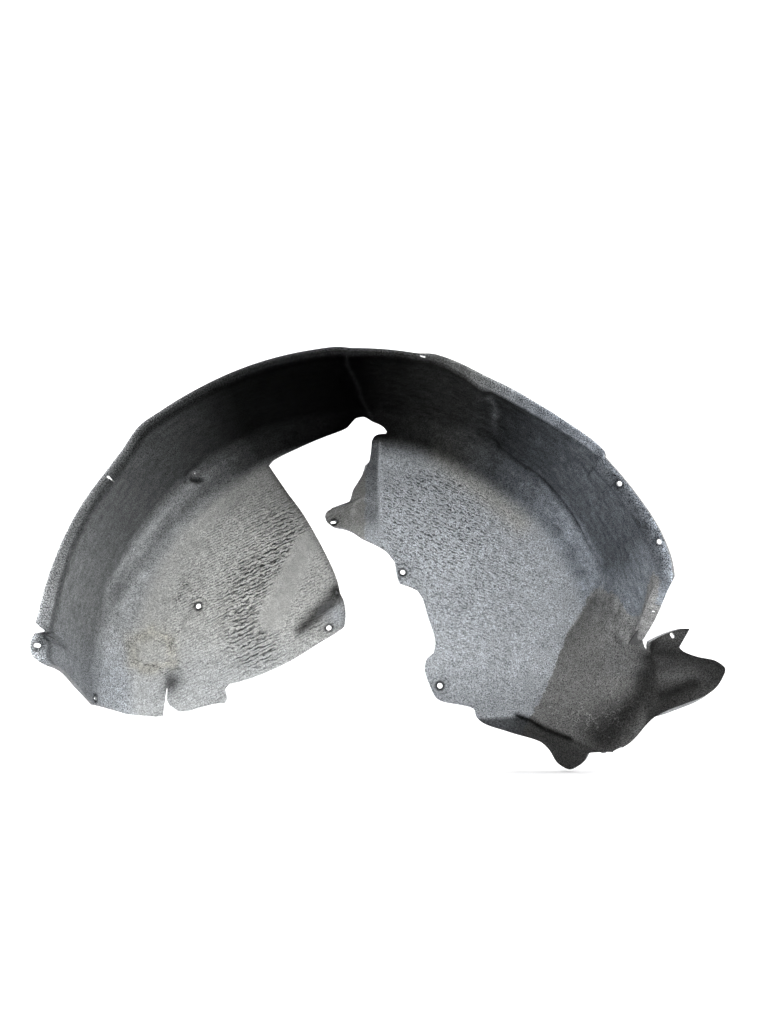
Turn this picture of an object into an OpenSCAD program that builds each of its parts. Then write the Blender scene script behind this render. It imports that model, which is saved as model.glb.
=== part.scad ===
// Wheel arch liner, one sheet of needled felt pressed to shape and trimmed.
// X runs along the car, Y runs inboard along the wheel axle, Z is up.
// The origin is the wheel centre in the plane of the outer flange.
// Places round the arch are sweep angles: 0 at the left end, 90 at the crown, 180 at the right.

/* [Arch] */
// Radius of the outer edge of the flange
rim_r = 385; // [375:1:395]
// Radius of the arch band where it turns into the shoulder
band_r = 385; // [378:1:390]
// Depth from the flange to the front of the side wall
liner_depth = 230; // [215:1:245]
// Thickness of the felt
felt_t = 4; // [3:0.5:5]

/* [Shoulder] */
// Width of the round shoulder, measured along the wheel radius
shoulder_w = 48; // [40:1:56]
// Depth of the round shoulder, measured along the axle
shoulder_d = 48; // [38:1:56]
// Height of the two soft ribs pressed into the left shoulder
rib_h = 3; // [1:0.5:5]

/* [Flange] */
// Width of the flange over the left half of the arch
flange_w = 12; // [10:1:16]
// Extra width of the flange where it is broadest, on the right
flange_extra = 4; // [0:1:8]
// Width of the rim beyond the end of the flange, measured along the radius
rim_flare_w = 13; // [11:1:16]
// How far that rim leans back along the axle
rim_flare_d = 15; // [12:1:20]

/* [Pocket] */
// Depth of the pressed pocket between the flange and the joggle
pocket_h = 8; // [4:1:10]
// Height of the fold that crosses the band at the crown
fold_h = 6; // [3:1:8]
// Height of the ridge that closes the pocket
ridge_h = 5; // [3:1:8]

/* [Side wall] */
// Slope of the panel that leads from the right wall to the tail
panel_slope = 0.8; // [0.6:0.05:0.9]
// Slope of the strip beside the strut gap, which leans away from the wheel
strip_slope = 0.45; // [0.3:0.05:0.6]
// Slope of the lip that is turned back under the right wall
lip_slope = 0.8; // [0.5:0.05:0.9]
// Depth of the valley behind the corner seat of the left wall
valley_d = 9; // [4:1:12]
// Foot of that valley, X and Z
valley_at = [-62, 75]; // [-400:1:400]
// Depth of the valley along the tail
tail_valley = 12; // [6:1:16]

/* [Clips] */
// Radius of the round clip holes in the side walls
clip_r = 4; // [3:0.5:4.5]
// Radius of the pressed seat round each of them
seat_r = 8.5; // [7:0.5:9]
// Depth of the pressed seats
seat_d = 1.2; // [0.5:0.1:1.5]
// Radius of the two screw holes in the rim on the right
screw_r = 3.5; // [2.5:0.5:4]
// Upper screw hole in the rim: X, depth and Z
screw_a = [325, 7, 196]; // [-400:1:400]
// Lower screw hole in the rim: X, depth and Z
screw_b = [368, 7, 120]; // [-400:1:400]
// Lean of the screw holes away from the axle
screw_lean = 49; // [40:1:56]
// Stretch of the oval clip holes beyond a round one
oval_l = 3; // [2:0.5:5]
// Width of the oval clip holes
oval_w = 5; // [4:0.5:6]

/* [Cup] */
// Centre of the pressed cup on the left shoulder: X, depth and Z
cup_at = [-259.3, 205, 274.3]; // [-400:0.1:400]
// Radius of the mouth of the cup
cup_r = 13; // [11:0.5:15]
// Radius of the bottom of the cup
cup_floor_r = 8; // [6:0.5:10]
// Depth of the cup
cup_d = 8; // [6:0.5:11]
// Radius of the needle hole in its bottom
needle_r = 1.5; // [1:0.5:2.5]

/* [Left wall trim] */
// Corner of the wall at the strut gap, X and Z
gap_corner = [-152, 299]; // [-400:1:400]
// Lower corner with the seat, X and Z
seat_corner = [-30, 46]; // [-400:1:400]
// Clip hole beside the lower corner, X and Z
left_clip_a = [-53, 44]; // [-400:1:400]
// Clip hole in the middle of the wall, X and Z
left_clip_b = [-249, 76]; // [-400:1:400]
// Foot of the slit in the lower edge, X and Z
slit_foot = [-286, -82]; // [-400:1:400]
// Length of the slit
slit_l = 38; // [20:1:44]
// Width of the slit where it opens
slit_w = 12; // [8:1:16]
// Height of the curl of the felt beside the slit
curl_h = 6; // [2:1:8]

/* [Right wall trim] */
// Tip of the finger tab in the strut gap, X and Z
finger_tip = [-65, 229]; // [-400:1:400]
// Oval hole in the finger tab, X and Z
finger_hole = [-50, 217]; // [-400:1:400]
// Clip hole in the ear beside the strut gap, X and Z
right_clip_a = [58, 129]; // [-400:1:400]
// Clip hole in the lower lobe, X and Z
right_clip_b = [111, -40]; // [-400:1:400]
// Lowest point of the drain lobe, X and Z
lobe_tip = [287, -155]; // [-400:1:400]

/* [Worn and oval holes] */
// Hole in the lobe at the left end, X and Z
lobe_hole = [-381, -10]; // [-400:1:400]
// Hole above the lower left corner: X, depth and Z
corner_hole = [-374, 194, -60]; // [-400:1:400]
// Torn hole in the left flange, X and Z
torn_hole = [-320, 199]; // [-400:1:400]
// Tear in the flange past the crown, X and Z
flange_tear = [77, 371]; // [-400:1:400]
// Third hole in the rim on the right: X, depth and Z
rim_hole = [377, 77, 42.5]; // [-400:0.5:400]

/* [Tail] */
// Distance from the wheel centre to the tip of the tail
tail_r = 489; // [470:1:510]
// Distance from the wheel centre to the tip of the tail's tab
tail_tab_r = 453; // [440:1:460]
// Depth of the tip of the tail behind the flange
tail_y = 132; // [120:1:150]

/* [Hidden] */

felt_grey = [0.52, 0.53, 0.53];
inboard = [0, 1, 0];
reach = 16;
flange_rows = 1;
band_rows = 6;
shoulder_rows = 6;
wall_rows = 8;
band_start = flange_rows;
shoulder_start = band_start + band_rows;
wall_start = shoulder_start + shoulder_rows;
last_row = wall_start + wall_rows;
station_step = 5;

gap_from = 63;
gap_to = 95.4;
flap_from = 91.5;
slot_from = 178.6;
slot_to = 179.4;
flange_end = 142.4;
rim_start = 143.2;

// Outer edge: sweep angle, angle of the edge point, radius beyond rim_r, depth behind the flange
rim_line = [
    [-10.4, -5, -14, 0], [-9.5, -4, -5, 0], [-8.3, -3, 1, 0], [-6.6, -1.3, 3.5, 0], [-5, 0.1, 2, 0],
    [-4.4, 0.6, 0, 0], [-3.8, 1, -12, 0], [-3.2, 1.7, -5, 0], [-2.5, 2.5, 1, 0], [2, 5, 0, 0],
    [10, 10.5, 0, 0], [24, 24, 0, 0], [32, 32, -1, 0], [37, 37, 1, 0], [43.5, 43.5, 9, 0], [48, 48, 6, 0],
    [60, 60, 2.5, 0], [80, 80, 1, 0], [84, 84, 1.5, 0], [88, 88, -2, 0], [100, 100, -3, 0],
    [104, 104, 1, 0], [108, 108, -1, 0], [116, 116, -7, 0], [124, 124, -7, 0], [132, 132, -4, 0],
    [flange_end, flange_end, 4, 0], [rim_start, rim_start, -2, 0], [152, 152, 1, 0], [161, 161, 5, 0],
    [165, 165, 4, 0], [168.5, 168.5, 0, 0], [172, 171.5, -2, 35], [175.5, 174.8, 0, 90],
    [slot_from, 177.5, 2, 148]
];

// Flange: sweep angle, width beyond flange_w
flange_line = [
    [-10.4, -4], [-9.5, 0], [-6.6, 7], [-3.8, -7], [-2.5, 4], [10, 2], [31, -2], [44, -2], [80, -2],
    [100, -4], [105, -3], [112, flange_extra * 0.4], [121, flange_extra], [130, flange_extra - 1],
    [flange_end, flange_extra - 4]
];

// Where band meets shoulder: sweep angle, radius beyond band_r, depth beyond the usual start
bend_line = [
    [-10.4, -6, 3], [0, -2, 0], [15, 0, 0], [60, 0, 6], [75, 1, 20], [87, 1, 34], [92, 1, 32],
    [100, 1, 12], [110, 0, 2], [140, 0, -4], [155, -1, -10], [165, -4, -24], [172, -2, -26],
    [slot_from, 6, -22], [181, 13, -26], [186, 13, -36], [191, 6, -38], [195, -4, -40], [198, -23, -36],
    [200, -18, -44]
];

// Where shoulder meets wall: sweep angle, angle of the point, radius beyond the usual one
wall_line = [
    [-10.4, -13.3, 13], [3, 3, 8], [15, 15, -4], [40, 40, -6], [gap_from, gap_from, 1], [80, 80, 1],
    [gap_to, gap_to, 3], [114, 114, 1], [128, 128, 13], [141, 141, 16], [156, 156, 25], [164, 164, 19],
    [170, 170, -12], [177, 177, -47], [186, 186.8, -65], [192.5, 193.3, -68], [194.3, 196.6, -57],
    [196, 199.5, -38], [197.3, 200.8, -19], [198.5, 201.2, -2], [200, 201.6, 19]
];

// Free edge across the gap: sweep angle, how far down the shoulder it is cut
gap_line = [
    [gap_from, 1], [64.5, 0.94], [70.8, 0.88], [75.4, 0.82], [80, 0.74], [84, 0.65], [85.4, 0.59],
    [86.7, 0.44], [87.6, 0.32], [89.4, 0.27], [90.4, 0.34], [flap_from, 0.44], [93.4, 0.53], [94.5, 0.6],
    [gap_to, 0.7], [103, 1]
];

// Upper end of the right wall, left of the notch: sweep angle, X, Z
flap_line = [[flap_from, 9.5, 344], [92.3, 14, 353], [93.2, 20, 357], [gap_to, 34, 360]];

// Trimmed edge of the left wall: sweep angle, X, Z
left_trim = [
    [-10.4, -300, -84], [-9, -285, -82], [-7.8, -268, -77], [-7, -258, -77], [-5.8, -238, -72],
    [-4.6, -218, -66], [-3.9, -202, -65], [-3.4, -198, -59], [-3, -202, -45], [-2.2, -197, -38],
    [-1, -180, -34], [1, -148, -23], [4, -106, -3], [7, -65, 23], [9, -43, 36],
    [10.5, seat_corner.x, seat_corner.y], [12, -28, 60], [14, -29, 74], [18, -37, 98], [20, -41, 114],
    [24, -53, 143], [40, -98, 223], [50, -121, 254], [gap_from, gap_corner.x, gap_corner.y]
];

// Trimmed edge of the right wall, down to the end of the tail: sweep angle, X, Z
right_trim = [
    [flap_from, 9, 330], [93.5, 6, 310], [gap_to, -1, 293], [103, -12, 277], [108, -20, 266],
    [113, -24, 252], [116, -29, 244], [118, -38, 242], [120.5, -52, 240], [123, -61, 237],
    [125, finger_tip.x, finger_tip.y], [127, -62, 219], [129.5, -50, 209], [132.5, -34, 204],
    [135, -20, 196], [137.5, -6, 184], [139.5, 8, 176], [flange_end, 31, 163], [rim_start, 37, 157],
    [145, 46, 145], [146.5, 48, 128], [148, 53, 112], [150, 67, 107], [151.5, 80, 101], [153, 88, 89],
    [156, 95, 62], [160.5, 106, 22], [162, 103, 8], [163.5, 92, -2], [165, 89, -14], [169, 96, -39],
    [172, 105, -57], [174, 113, -62], [slot_from, 160, -73], [slot_to, 163, -84], [181.5, 174, -93],
    [187, 212, -105], [192.5, 252, -118], [194.3, 263, -129], [195.8, 273, -147],
    [197.3, lobe_tip.x, lobe_tip.y], [198.6, 299, -147], [200, 308, -133]
];

// Outer edge of the tail: sweep angle, angle of the edge point, radius, depth
tail_line = [
    [slot_to, 178.1, 395, 150], [179.8, 176.7, tail_tab_r - 35, 148], [180.2, 175.9, tail_tab_r - 12, 146],
    [180.6, 176, tail_tab_r, 145], [181, 177.8, tail_tab_r - 10, 147], [181.5, 179.2, tail_tab_r - 17, 148],
    [182.4, 180.8, tail_r - 34, tail_y + 10], [183.3, 181.5, tail_r - 12, tail_y + 3],
    [184.4, 182.9, tail_r, tail_y], [185.5, 184.3, tail_r - 5, tail_y], [187, 186, tail_r - 14, tail_y + 2],
    [188.5, 187.5, tail_r - 28, tail_y + 8], [190, 188.8, 443, 146], [192, 190.7, 418, 150],
    [194.3, 192.7, 400, 150], [195.8, 194.5, 391, 150], [197.3, 196.9, 382, 149], [198.6, 199, 374, 147],
    [200, 201.4, 361, 146]
];

function slope(t, i, c) = (t[i + 1][c] - t[i][c]) / (t[i + 1][0] - t[i][0]);

function knot_slope(t, i, c) =
    i == 0 ? slope(t, 0, c)
    : i == len(t) - 1 ? slope(t, i - 1, c)
    : let (a = slope(t, i - 1, c), b = slope(t, i, c)) a * b <= 0 ? 0 : 2 * a * b / (a + b);

// Smooth curve through column c of a table, at sweep angle s, with no overshoot
function along(t, s, c) =
    let (
        last = len(t) - 1,
        q = min(max(s, t[0][0]), t[last][0]),
        i = min(last - 1, max([for (k = [0 : last]) if (t[k][0] <= q) k])),
        h = t[i + 1][0] - t[i][0],
        u = (q - t[i][0]) / h
    )
    (1 + 2 * u) * (1 - u) ^ 2 * t[i][c] + u * (1 - u) ^ 2 * h * knot_slope(t, i, c)
    + u ^ 2 * (3 - 2 * u) * t[i + 1][c] + u ^ 2 * (u - 1) * h * knot_slope(t, i + 1, c);

function ramp(a, b, x) = let (u = min(max((x - a) / (b - a), 0), 1)) u * u * (3 - 2 * u);
function bump(x, w) = exp(-x * x / (w * w));
function beyond(x, r) = (x + sqrt(x * x + r * r)) / 2;
function mix(a, b, u) = a + (b - a) * u;
function polar(r, s) = [-r * cos(s), r * sin(s)];

// Side of the bend line of the right wall: distance of a point beyond it, towards the tail
function past_bend(p) = ((p.x - 250) * 0.876 - (p.y + 70) * 0.482);

// Side of the strut gap: how far a point lies to the right of it
function past_gap(p) = p.x + 0.58 * p.y - 47;

// Fold line of the lip under the right wall: X, Z
lip_fold = [[60, -130], [160, -86], [233, -82], [285, -112], [330, -134]];

// Valley behind the corner seat of the left wall, which runs up and inwards from valley_at
function valley(p) =
    let (q = p - valley_at, side = (q.x - q.y) * 0.707, run = (q.x + q.y) * 0.707)
    valley_d * bump(side, 9) * ramp(-42, -5, run) * (1 - ramp(60, 100, norm(q - [22, 5])));

// Depth of the front of the side wall at X and Z
function wall_depth(p) =
    liner_depth
    - panel_slope * beyond(past_bend(p), 10)
    + lip_slope * beyond(lookup(p.x, lip_fold) - p.y, 6) * ramp(130, 165, p.x)
    + strip_slope * beyond(20 - p.x, 5) * ramp(-8, 6, past_gap(p))
      * ramp(170, 215, p.y) * (1 - ramp(262, 298, p.y))
    + valley(p)
    - curl_h * bump(norm(p - slit_foot - [24, 30]), 20) * ramp(-4, 16, p.x - slit_foot.x);

// Radial lift of the band at sweep angle s and depth share u
function band_lift(s, u) =
    pocket_h * ramp(115.5, 118, s) * (1 - ramp(146, 160, s)) * ramp(0.02, 0.1, u) * (1 - ramp(0.5, 0.62, u))
    - ridge_h * bump(s - 115, 1.8) * bump(u - 0.4, 0.35)
    - fold_h * bump(s - mix(82, 92, u), 1.7) * ramp(0.05, 0.25, u);

function shoulder_lift(s, u) =
    -rib_h * (bump(u - 0.3, 0.07) + bump(u - 0.55, 0.07)) * ramp(2, 12, s) * (1 - ramp(55, 62, s));

function in_tail(s) = s > (slot_from + slot_to) / 2;
function flange_width(s) =
    s <= flange_end ? flange_w + along(flange_line, s, 1)
    : mix(rim_flare_w, flange_w + flange_extra - 4, 1 - ramp(flange_end, rim_start, s));
function flange_lean(s) =
    s <= flange_end ? 0 : rim_flare_d * ramp(flange_end, rim_start, s) + 12 * ramp(160, 172, s);

// Outer edge of the tail
function tail_edge(s) =
    let (p = polar(along(tail_line, s, 2), along(tail_line, s, 1))) [p.x, along(tail_line, s, 3), p.y];

function bend_r(s) = band_r + along(bend_line, s, 1);
function bend_y(s) = liner_depth - shoulder_d + along(bend_line, s, 2);
function wall_r(s) = band_r - shoulder_w + along(wall_line, s, 2);
function wall_point(s) = polar(wall_r(s), along(wall_line, s, 1));
function roundness(s) = 1 - ramp(158, 172, s);

// Outer part of a station line over the arch: flange, then band
function band_points(s) =
    let (
        n = along(rim_line, s, 1), r = rim_r + along(rim_line, s, 2), y = along(rim_line, s, 3),
        w = flange_width(s), l = flange_lean(s)
    )
    concat(
        [for (j = [0 : flange_rows - 1])
            let (u = j / flange_rows, p = polar(r - w * u, n)) [p.x, y + l * u, p.y]],
        [for (j = [0 : band_rows])
            let (
                u = j / band_rows,
                q = polar(mix(r - w, bend_r(s), ramp(0, 0.8, u)) + band_lift(s, u), mix(n, s, u * u))
            )
            [q.x, mix(y + l, bend_y(s), u), q.y]]
    );

// Outer part of a station line over the tail: straight from the tail's edge to its crease
function tail_points(s) =
    let (a = tail_edge(s), k = polar(bend_r(s), s))
    [for (j = [0 : shoulder_start])
        let (u = j / shoulder_start, dip = tail_valley * bump(s - 190, 2.6) * sin(180 * min(1, u * 1.15)))
        [mix(a.x, k.x, u), mix(a.y, bend_y(s), u) + dip, mix(a.z, k.y, u)]];

// Shoulder: a quarter round over the arch, a flat slope beside the tail
function shoulder_points(s) =
    let (
        k = polar(bend_r(s), s), w = wall_point(s), q = roundness(s),
        cut = s > gap_from && s < 103 ? along(gap_line, s, 1) : 1,
        y0 = bend_y(s), y1 = wall_depth(w)
    )
    [for (j = [1 : shoulder_rows])
        let (
            u = cut * j / shoulder_rows,
            a = mix(u, 1 - cos(90 * u), q), b = mix(u, sin(90 * u), q), lift = shoulder_lift(s, u),
            p = mix(k, w, a) * (1 + lift / norm(k))
        )
        [p.x, mix(y0, y1, b) + lift * b, p.y]];

// Depth of a wall point, also where the notch cuts into the round shoulder
function wall_or_shoulder(s, p) =
    s > gap_from && s < 110 && norm(p) > wall_r(s)
    ? mix(bend_y(s), wall_depth(p), sqrt(max(0, 1 - ((norm(p) - wall_r(s)) / (bend_r(s) - wall_r(s))) ^ 2)))
    : wall_depth(p);

function wall_points(s, start) =
    let (
        t = s <= gap_from ? left_trim : right_trim,
        e = [along(t, s, 1), along(t, s, 2)],
        a = s > gap_from && s < gap_to ? [along(flap_line, s, 1), along(flap_line, s, 2)] : start
    )
    [for (j = [1 : wall_rows]) let (p = mix(a, e, j / wall_rows)) [p.x, wall_or_shoulder(s, p), p.y]];

function station_line(s) =
    let (
        outer = in_tail(s) ? tail_points(s) : band_points(s),
        turn = shoulder_points(s),
        foot = turn[shoulder_rows - 1]
    )
    concat(outer, turn, wall_points(s, [foot.x, foot.z]));

function split(keys) =
    [for (i = [0 : len(keys) - 2])
        let (n = ceil((keys[i + 1] - keys[i]) / station_step))
        for (k = [0 : n - 1]) mix(keys[i], keys[i + 1], k / n)];

gap_stops = [gap_from, 64.5, 72, 80, 84, 85.4, 86.7, 87.6, 89.4, 90.4, flap_from, 92.3, 93.2, 94.5, gap_to];
stops = concat(
    split([for (r = left_trim) r[0]]),
    split(gap_stops),
    split([for (r = right_trim) if (r[0] >= gap_to && r[0] <= slot_from) r[0]]),
    [slot_from],
    [for (r = tail_line) r[0]]
);
front = [for (s = stops) station_line(s)];
last_stop = len(stops) - 1;

// A cell of the sheet is left out in the strut gap, in the notch and in the slot above the tail
function has_cell(i, j) =
    let (m = i >= 0 && i < last_stop ? (stops[i] + stops[i + 1]) / 2 : 0)
    i >= 0 && j >= 0 && i < last_stop && j < last_row
    && !(m > gap_from && m < gap_to && j == wall_start)
    && !(m > gap_from && m < flap_from && j >= wall_start)
    && !(m > slot_from && m < slot_to && j < shoulder_start);

function joined(i, j, di, dj) =
    di != 0
    ? let (k = di > 0 ? i : i - 1) has_cell(k, j) || has_cell(k, j - 1)
    : let (k = dj > 0 ? j : j - 1) has_cell(i, k) || has_cell(i - 1, k);

function near(i, j, di, dj) = joined(i, j, di, dj) ? front[i + di][j + dj] : front[i][j];

// Away from the wheel, square to the sheet
function away(i, j) =
    let (n = cross(near(i, j, 1, 0) - near(i, j, -1, 0), near(i, j, 0, 1) - near(i, j, 0, -1)))
    norm(n) > 0 ? n / norm(n) : [0, 1, 0];

row_len = last_row + 1;
front_pts = [for (i = [0 : last_stop], j = [0 : last_row]) front[i][j]];
back_pts = [for (i = [0 : last_stop], j = [0 : last_row]) front[i][j] + felt_t * away(i, j)];
back = len(front_pts);

function at(i, j) = i * row_len + j;
function side(a, b) = [[b, a, a + back], [b, a + back, b + back]];

function sheet_faces() =
    [for (i = [0 : last_stop - 1], j = [0 : last_row - 1]) if (has_cell(i, j))
        let (a = at(i, j), b = at(i + 1, j), c = at(i + 1, j + 1), e = at(i, j + 1))
        each concat(
            [[a, b, c], [a, c, e], [a + back, c + back, b + back], [a + back, e + back, c + back]],
            has_cell(i, j - 1) ? [] : side(a, b),
            has_cell(i + 1, j) ? [] : side(b, c),
            has_cell(i, j + 1) ? [] : side(c, e),
            has_cell(i - 1, j) ? [] : side(e, a)
        )];

module felt_sheet() {
    polyhedron(points = concat(front_pts, back_pts), faces = sheet_faces(), convexity = 12);
}

// Puts a tool for a hole at a point of the sheet, its Z axis along the given direction
module along_way(at, way, turn = 0) {
    translate(at) rotate([0, acos(way.z / norm(way)), atan2(way.y, way.x)]) rotate(turn) children();
}

module through_hole(r, sides = 32) {
    translate([0, 0, -reach]) cylinder(r = r, h = 2 * reach, $fn = sides);
}

module clip_hole() {
    through_hole(clip_r);
    translate([0, 0, -reach]) cylinder(r = seat_r, h = reach + seat_d, $fn = 32);
}

module oval_hole(length, width) {
    for (x = [-length / 2, length / 2]) translate([x, 0, 0]) through_hole(width / 2, 20);
    cube([length, width, 2 * reach], center = true);
}

function on_wall(p) = [p.x, wall_depth(p), p.y];

module wall_holes() {
    for (p = [left_clip_a, left_clip_b, right_clip_a, right_clip_b])
        along_way(on_wall(p), inboard) clip_hole();
    along_way(on_wall(finger_hole), [-0.4, 1, 0], 20) oval_hole(oval_l, oval_w);
}

// Both screw holes of the rim share one direction, square to the line between them
module screw_holes() {
    run = screw_b - screw_a;
    out = [-run.z, 0, run.x] / norm(run);
    for (p = [screw_a, screw_b])
        along_way(p, cos(screw_lean) * inboard + sin(screw_lean) * out) through_hole(screw_r);
}

module small_ovals() {
    tab = polar(tail_tab_r - 24, 176.9);
    along_way([lobe_hole.x, 0, lobe_hole.y], inboard, 12) oval_hole(oval_l + 2, oval_w);
    along_way(corner_hole, [-0.96, 0.2, -0.2], 90) oval_hole(oval_l + 1, oval_w);
    along_way([flange_tear.x, 0, flange_tear.y], inboard, 20) oval_hole(6, 2.5);
    along_way([torn_hole.x, 0, torn_hole.y], inboard, 30) oval_hole(3, 3);
    along_way(rim_hole, [0.45, 0.26, 0.85], 90) oval_hole(oval_l, oval_w);
    along_way([tab.x, tail_y + 17, tab.y], inboard, 60) oval_hole(oval_l, oval_w);
}

cup_way = [-0.64, 0.45, 0.62];

module cup_body() {
    along_way(cup_at, cup_way)
        cylinder(r1 = cup_r + felt_t, r2 = cup_floor_r + felt_t, h = cup_d + felt_t, $fn = 40);
}

module cup_space() {
    along_way(cup_at, cup_way) {
        translate([0, 0, -reach]) cylinder(r = cup_r, h = reach, $fn = 40);
        cylinder(r1 = cup_r, r2 = cup_floor_r, h = cup_d, $fn = 40);
        through_hole(needle_r, 16);
    }
}

module slit() {
    translate([slit_foot.x, liner_depth + 2 * reach, slit_foot.y + slit_l])
        rotate([90, 0, 0]) linear_extrude(4 * reach)
            polygon([[-1, 0], [1, 0], [slit_w * 0.15, -slit_l * 0.45], [slit_w * 0.5, -slit_l * 0.63],
                [slit_w * 1.6, -slit_l * 0.85], [slit_w * 1.6, -slit_l - reach],
                [-slit_w * 0.3, -slit_l - reach], [-slit_w * 0.2, -slit_l * 0.6]]);
}

module arch_liner() {
    color(felt_grey) difference() {
        union() {
            felt_sheet();
            cup_body();
        }
        wall_holes();
        screw_holes();
        small_ovals();
        cup_space();
        slit();
    }
}

arch_liner();
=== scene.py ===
import math
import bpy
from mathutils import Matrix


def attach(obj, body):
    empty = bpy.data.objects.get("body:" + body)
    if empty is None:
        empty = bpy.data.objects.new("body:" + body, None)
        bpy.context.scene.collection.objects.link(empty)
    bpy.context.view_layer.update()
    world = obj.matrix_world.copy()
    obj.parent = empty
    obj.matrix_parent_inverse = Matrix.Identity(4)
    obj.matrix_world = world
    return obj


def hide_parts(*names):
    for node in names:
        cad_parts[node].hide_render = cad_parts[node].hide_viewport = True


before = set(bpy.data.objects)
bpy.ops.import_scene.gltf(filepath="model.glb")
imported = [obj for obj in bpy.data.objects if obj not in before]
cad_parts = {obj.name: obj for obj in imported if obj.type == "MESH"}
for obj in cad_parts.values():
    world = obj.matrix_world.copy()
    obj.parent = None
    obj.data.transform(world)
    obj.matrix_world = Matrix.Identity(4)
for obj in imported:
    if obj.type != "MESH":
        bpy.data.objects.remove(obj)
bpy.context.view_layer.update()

from types import SimpleNamespace

import bmesh
import bpy
import numpy as np
from mathutils import Vector

scene = bpy.context.scene
scene.view_settings.view_transform = "Standard"
mm = 0.001

# Sizes of the felt sheet in mm, as in the part's source
felt = {
    "rimRadius": 385, "bandRadius": 385, "depth": 230, "thickness": 4,
    "shoulderWidth": 48, "shoulderDepth": 48, "ribHeight": 3,
    "flangeWidth": 12, "flangeExtra": 4, "rimFlareWidth": 13, "rimFlareDepth": 15,
    "pocketHeight": 8, "foldHeight": 6, "ridgeHeight": 5,
    "panelSlope": 0.8, "stripSlope": 0.45, "lipSlope": 0.8, "valleyDepth": 9, "tailValley": 12,
    "tailReach": 489, "tabReach": 453, "tailDepth": 132, "curlHeight": 6,
}
gapFrom, gapTo, flapFrom, gapEnd = 63, 95.4, 91.5, 103
slotFrom, slotTo = 178.6, 179.4
flangeEnd, rimStart = 142.4, 143.2

# Each row starts with its sweep angle: 0 at the left end, 90 at the crown, 180 at the right
rimLine = [
    [-10.4, -5, -14, 0], [-9.5, -4, -5, 0], [-8.3, -3, 1, 0], [-6.6, -1.3, 3.5, 0], [-5, 0.1, 2, 0],
    [-4.4, 0.6, 0, 0], [-3.8, 1, -12, 0], [-3.2, 1.7, -5, 0], [-2.5, 2.5, 1, 0], [2, 5, 0, 0],
    [10, 10.5, 0, 0], [24, 24, 0, 0], [32, 32, -1, 0], [37, 37, 1, 0], [43.5, 43.5, 9, 0], [48, 48, 6, 0],
    [60, 60, 2.5, 0], [80, 80, 1, 0], [84, 84, 1.5, 0], [88, 88, -2, 0], [100, 100, -3, 0], [104, 104, 1, 0],
    [108, 108, -1, 0], [116, 116, -7, 0], [124, 124, -7, 0], [132, 132, -4, 0],
    [flangeEnd, flangeEnd, 4, 0], [rimStart, rimStart, -2, 0], [152, 152, 1, 0], [161, 161, 5, 0],
    [165, 165, 4, 0], [168.5, 168.5, 0, 0], [172, 171.5, -2, 35], [175.5, 174.8, 0, 90],
    [slotFrom, 177.5, 2, 148],
]
flangeLine = [
    [-10.4, -4], [-9.5, 0], [-6.6, 7], [-3.8, -7], [-2.5, 4], [10, 2], [31, -2], [44, -2], [80, -2],
    [100, -4], [105, -3], [112, felt["flangeExtra"] * 0.4], [121, felt["flangeExtra"]],
    [130, felt["flangeExtra"] - 1], [flangeEnd, felt["flangeExtra"] - 4],
]
bendLine = [
    [-10.4, -6, 3], [0, -2, 0], [15, 0, 0], [60, 0, 6], [75, 1, 20], [87, 1, 34], [92, 1, 32],
    [100, 1, 12], [110, 0, 2], [140, 0, -4], [155, -1, -10], [165, -4, -24], [172, -2, -26],
    [slotFrom, 6, -22], [181, 13, -26], [186, 13, -36], [191, 6, -38], [195, -4, -40], [198, -23, -36],
    [200, -23, -44],
]
wallLine = [
    [-10.4, -13.3, 13], [3, 3, 8], [15, 15, -4], [40, 40, -6], [gapFrom, gapFrom, 1], [80, 80, 1],
    [gapTo, gapTo, 3], [114, 114, 1], [128, 128, 13], [141, 141, 16], [156, 156, 25], [164, 164, 19],
    [170, 170, -12], [177, 177, -47], [186, 186.8, -65], [192.5, 193.3, -68], [194.3, 196.6, -57],
    [196, 199.5, -38], [197.3, 200.4, -22], [198.6, 200.6, -18], [199.1, 200.7, -15], [200, 201.6, 19],
]
gapLine = [
    [gapFrom, 1], [64.5, 0.94], [70.8, 0.88], [75.4, 0.82], [80, 0.74], [84, 0.65], [85.4, 0.59],
    [86.7, 0.44], [87.6, 0.32], [89.4, 0.27], [90.4, 0.34], [flapFrom, 0.44], [93.4, 0.53], [94.5, 0.6],
    [gapTo, 0.7], [gapEnd, 1],
]
flapLine = [[flapFrom, 9.5, 344], [92.3, 14, 353], [93.2, 20, 357], [gapTo, 34, 360]]
leftTrim = [
    [-10.4, -300, -84], [-9, -285, -82], [-7.8, -268, -77], [-7, -258, -77], [-5.8, -238, -72],
    [-4.6, -218, -66], [-3.9, -202, -65], [-3.4, -198, -59], [-3, -202, -45], [-2.2, -197, -38],
    [-1, -180, -34], [1, -148, -23], [4, -106, -3], [7, -65, 23], [9, -43, 36], [10.5, -30, 46],
    [12, -28, 60], [14, -29, 74], [18, -37, 98], [20, -41, 114], [24, -53, 143], [40, -98, 223],
    [50, -121, 254], [gapFrom, -152, 299],
]
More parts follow.
